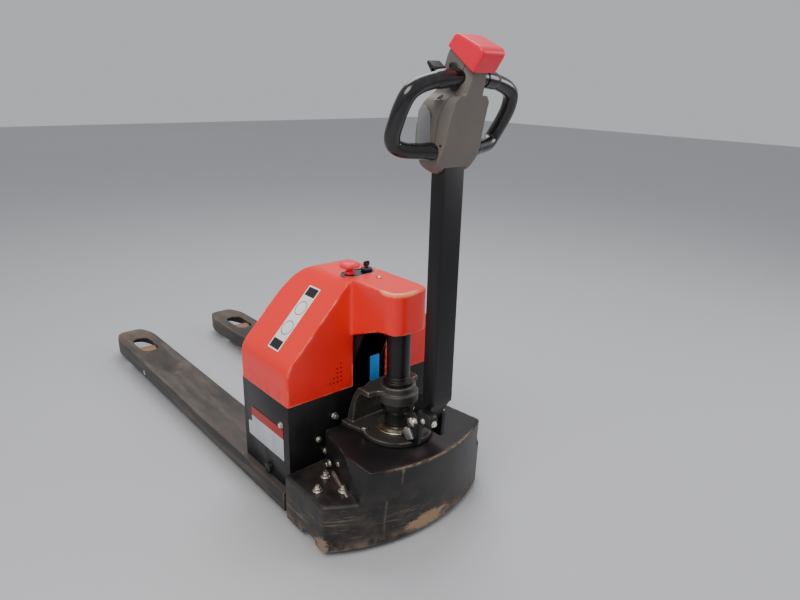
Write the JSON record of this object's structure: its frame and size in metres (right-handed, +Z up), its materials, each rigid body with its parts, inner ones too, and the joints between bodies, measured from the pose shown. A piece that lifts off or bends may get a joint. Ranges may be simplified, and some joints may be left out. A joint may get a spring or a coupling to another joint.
{
  "type": "electric pallet truck",
  "caption": "Walkie pallet truck: low fork frame with a battery box and sloped hood, a steered drive wheel under a curved bumper, and a tiller with a looped control head.",
  "frame": {"origin": "centre of the footprint box, at floor level", "axes": "+Z up, +Y towards the fork tips, +X to the right of an operator facing the forks"},
  "size_m": [0.56, 1.7736, 1.213],
  "materials": {
    "black_paint": "black satin enamel",
    "worn_black": "black enamel, scuffed and dirty",
    "red_shell": "bright red moulded shell, scratched edges",
    "red_cap": "pinkish red plastic",
    "taupe": "taupe grey fine-grain plastic",
    "black_gloss": "black glossy plastic",
    "dark_plastic": "black plastic",
    "cast_iron": "dark oily casting",
    "zinc": "zinc plated steel",
    "chrome": "polished steel",
    "brass": "yellow zinc",
    "rubber": "black rubber",
    "polyurethane": "brown polyurethane",
    "silver": "cast aluminium",
    "plate_grey": "plain grey and red film",
    "plate_white": "plain white film",
    "plate_blue": "plain blue card"
  },
  "bodies": {
    "frame": {"fork_left": "worn_black", "fork_right": "worn_black", "rocker_axle_left": "zinc", "rocker_axle_right": "zinc", "battery_box": "black_paint", "hood": "red_shell", "control_panel": "plate_white", "hood_screw": "brass", "estop_collar": "dark_plastic", "key_switch": "dark_plastic", "battery": "dark_plastic", "pump_unit": "black_paint", "controller": "silver", "side_plate": "plate_grey", "slope_plate": "plate_white", "side_bolt_left": "zinc", "side_bolt_right": "zinc", "front_bolt_upper": "zinc", "front_bolt_lower": "zinc", "column_bracket": "black_paint", "bracket_bolt": "zinc", "blue_tag": "plate_blue", "lift_rod": "chrome"},
    "base": {"base_cover": "worn_black", "column_casting": "cast_iron", "bearing_ring": "chrome", "lift_barrel": "black_paint", "barrel_gland": "zinc", "caster_mount_left": "zinc", "caster_mount_right": "zinc"},
    "steering": {"steering_hub": "black_paint", "tiller_pin": "zinc", "brake_cam": "silver", "drive_yoke": "black_paint", "drive_motor": "cast_iron"},
    "drive_wheel": {"drive_tyre": "rubber", "drive_hub": "silver"},
    "caster_left": {"caster_fork_left": "zinc"},
    "caster_left_roll": {"caster_wheel_left": "rubber"},
    "caster_right": {"caster_fork_right": "zinc"},
    "caster_right_roll": {"caster_wheel_right": "rubber"},
    "crank": {"lift_crank": "black_paint"},
    "rod_left": {"push_rod_left": "zinc"},
    "rod_right": {"push_rod_right": "zinc"},
    "rocker_left_arm": {"rocker_left": "black_paint"},
    "rocker_right_arm": {"rocker_right": "black_paint"},
    "load_left": {"load_wheel_left": "polyurethane"},
    "load_right": {"load_wheel_right": "polyurethane"},
    "tiller": {"tiller_arm": "black_paint", "head_front": "taupe", "head_rear": "taupe", "handle_left": "black_gloss", "handle_right": "black_gloss"},
    "belly_cap": {"belly_switch": "red_cap"},
    "paddles": {"speed_paddles": "dark_plastic"},
    "lift_key": {"lift_button": "black_gloss"},
    "lower_key": {"lower_button": "black_gloss"},
    "horn_key": {"horn_button": "dark_plastic"},
    "stop_button": {"estop_button": "red_cap"},
    "ignition_key": {"key": "black_gloss"}
  },
  "joints": [
    {"name": "lift", "type": "slide", "parent": "frame", "child": "base", "axis": [0, 0, -1], "range_m": [0, 0.11]},
    {"name": "steer", "type": "hinge", "parent": "base", "child": "steering", "pos_m": [0, -0.62624, 0.105], "axis": [0, 0, 1], "range_deg": [-90, 90]},
    {"name": "drive_spin", "type": "hinge", "parent": "steering", "child": "drive_wheel", "pos_m": [0, -0.62624, 0.105], "axis": [1, 0, 0], "continuous": true},
    {"name": "caster_left_swivel", "type": "hinge", "parent": "base", "child": "caster_left", "pos_m": [-0.205, -0.63824, 0.1], "axis": [0, 0, 1], "continuous": true},
    {"name": "caster_left_spin", "type": "hinge", "parent": "caster_left", "child": "caster_left_roll", "pos_m": [-0.205, -0.61324, 0.0375], "axis": [1, 0, 0], "continuous": true},
    {"name": "caster_right_swivel", "type": "hinge", "parent": "base", "child": "caster_right", "pos_m": [0.205, -0.63824, 0.1], "axis": [0, 0, 1], "continuous": true},
    {"name": "caster_right_spin", "type": "hinge", "parent": "caster_right", "child": "caster_right_roll", "pos_m": [0.205, -0.61324, 0.0375], "axis": [1, 0, 0], "continuous": true},
    {"name": "crank_turn", "type": "hinge", "parent": "frame", "child": "crank", "pos_m": [0, -0.39324, 0.106], "axis": [1, 0, 0], "range_deg": [0, 36.63]},
    {"name": "rod_left_push", "type": "slide", "parent": "frame", "child": "rod_left", "axis": [0, 1, 0], "range_m": [0, 0.02059]},
    {"name": "rocker_left_turn", "type": "hinge", "parent": "frame", "child": "rocker_left_arm", "pos_m": [-0.207, 0.52676, 0.048], "axis": [-1, 0, 0], "range_deg": [0, 44.75]},
    {"name": "load_left_spin", "type": "hinge", "parent": "rocker_left_arm", "child": "load_left", "pos_m": [-0.207, 0.68656, 0.04], "axis": [1, 0, 0], "continuous": true},
    {"name": "rod_right_push", "type": "slide", "parent": "frame", "child": "rod_right", "axis": [0, 1, 0], "range_m": [0, 0.02059]},
    {"name": "rocker_right_turn", "type": "hinge", "parent": "frame", "child": "rocker_right_arm", "pos_m": [0.207, 0.52676, 0.048], "axis": [-1, 0, 0], "range_deg": [0, 44.75]},
    {"name": "load_right_spin", "type": "hinge", "parent": "rocker_right_arm", "child": "load_right", "pos_m": [0.207, 0.68656, 0.04], "axis": [1, 0, 0], "continuous": true},
    {"name": "tiller_tilt", "type": "hinge", "parent": "steering", "child": "tiller", "pos_m": [0, -0.73524, 0.326], "axis": [1, 0, 0], "range_deg": [0, 80], "stiffness_Nm_per_rad": 15, "springref_deg": -51.57},
    {"name": "belly_press", "type": "slide", "parent": "tiller", "child": "belly_cap", "axis": [0, 0.5736, -0.8192], "range_m": [0, 0.006], "stiffness_N_per_m": 800, "springref_m": -0.004},
    {"name": "paddle_turn", "type": "hinge", "parent": "tiller", "child": "paddles", "pos_m": [0, -0.78524, 1.144], "axis": [1, 0, 0], "range_deg": [-25, 25], "stiffness_Nm_per_rad": 0.4},
    {"name": "lift_press", "type": "slide", "parent": "tiller", "child": "lift_key", "axis": [0, -0.9781, -0.2079], "range_m": [0, 0.003], "stiffness_N_per_m": 300, "springref_m": -0.002},
    {"name": "lower_press", "type": "slide", "parent": "tiller", "child": "lower_key", "axis": [0, -0.9781, -0.2079], "range_m": [0, 0.003], "stiffness_N_per_m": 300, "springref_m": -0.002},
    {"name": "horn_press", "type": "slide", "parent": "tiller", "child": "horn_key", "axis": [0, -0.9781, -0.2079], "range_m": [0, 0.003], "stiffness_N_per_m": 300, "springref_m": -0.002},
    {"name": "stop_press", "type": "slide", "parent": "frame", "child": "stop_button", "axis": [0, 0, -1], "range_m": [0, 0.005], "stiffness_N_per_m": 500, "springref_m": -0.004},
    {"name": "key_turn", "type": "hinge", "parent": "frame", "child": "ignition_key", "pos_m": [0.02, -0.46324, 0.65], "axis": [0, 0, 1], "range_deg": [0, 90]}
  ],
  "couplings": [
    {"joint": "crank_turn", "follows": "lift", "rad_per_m": 5.7954},
    {"joint": "rod_left_push", "follows": "lift", "ratio": 0.18632},
    {"joint": "rocker_left_turn", "follows": "lift", "rad_per_m": 7.0849},
    {"joint": "rod_right_push", "follows": "lift", "ratio": 0.18632},
    {"joint": "rocker_right_turn", "follows": "lift", "rad_per_m": 7.0849}
  ]
}
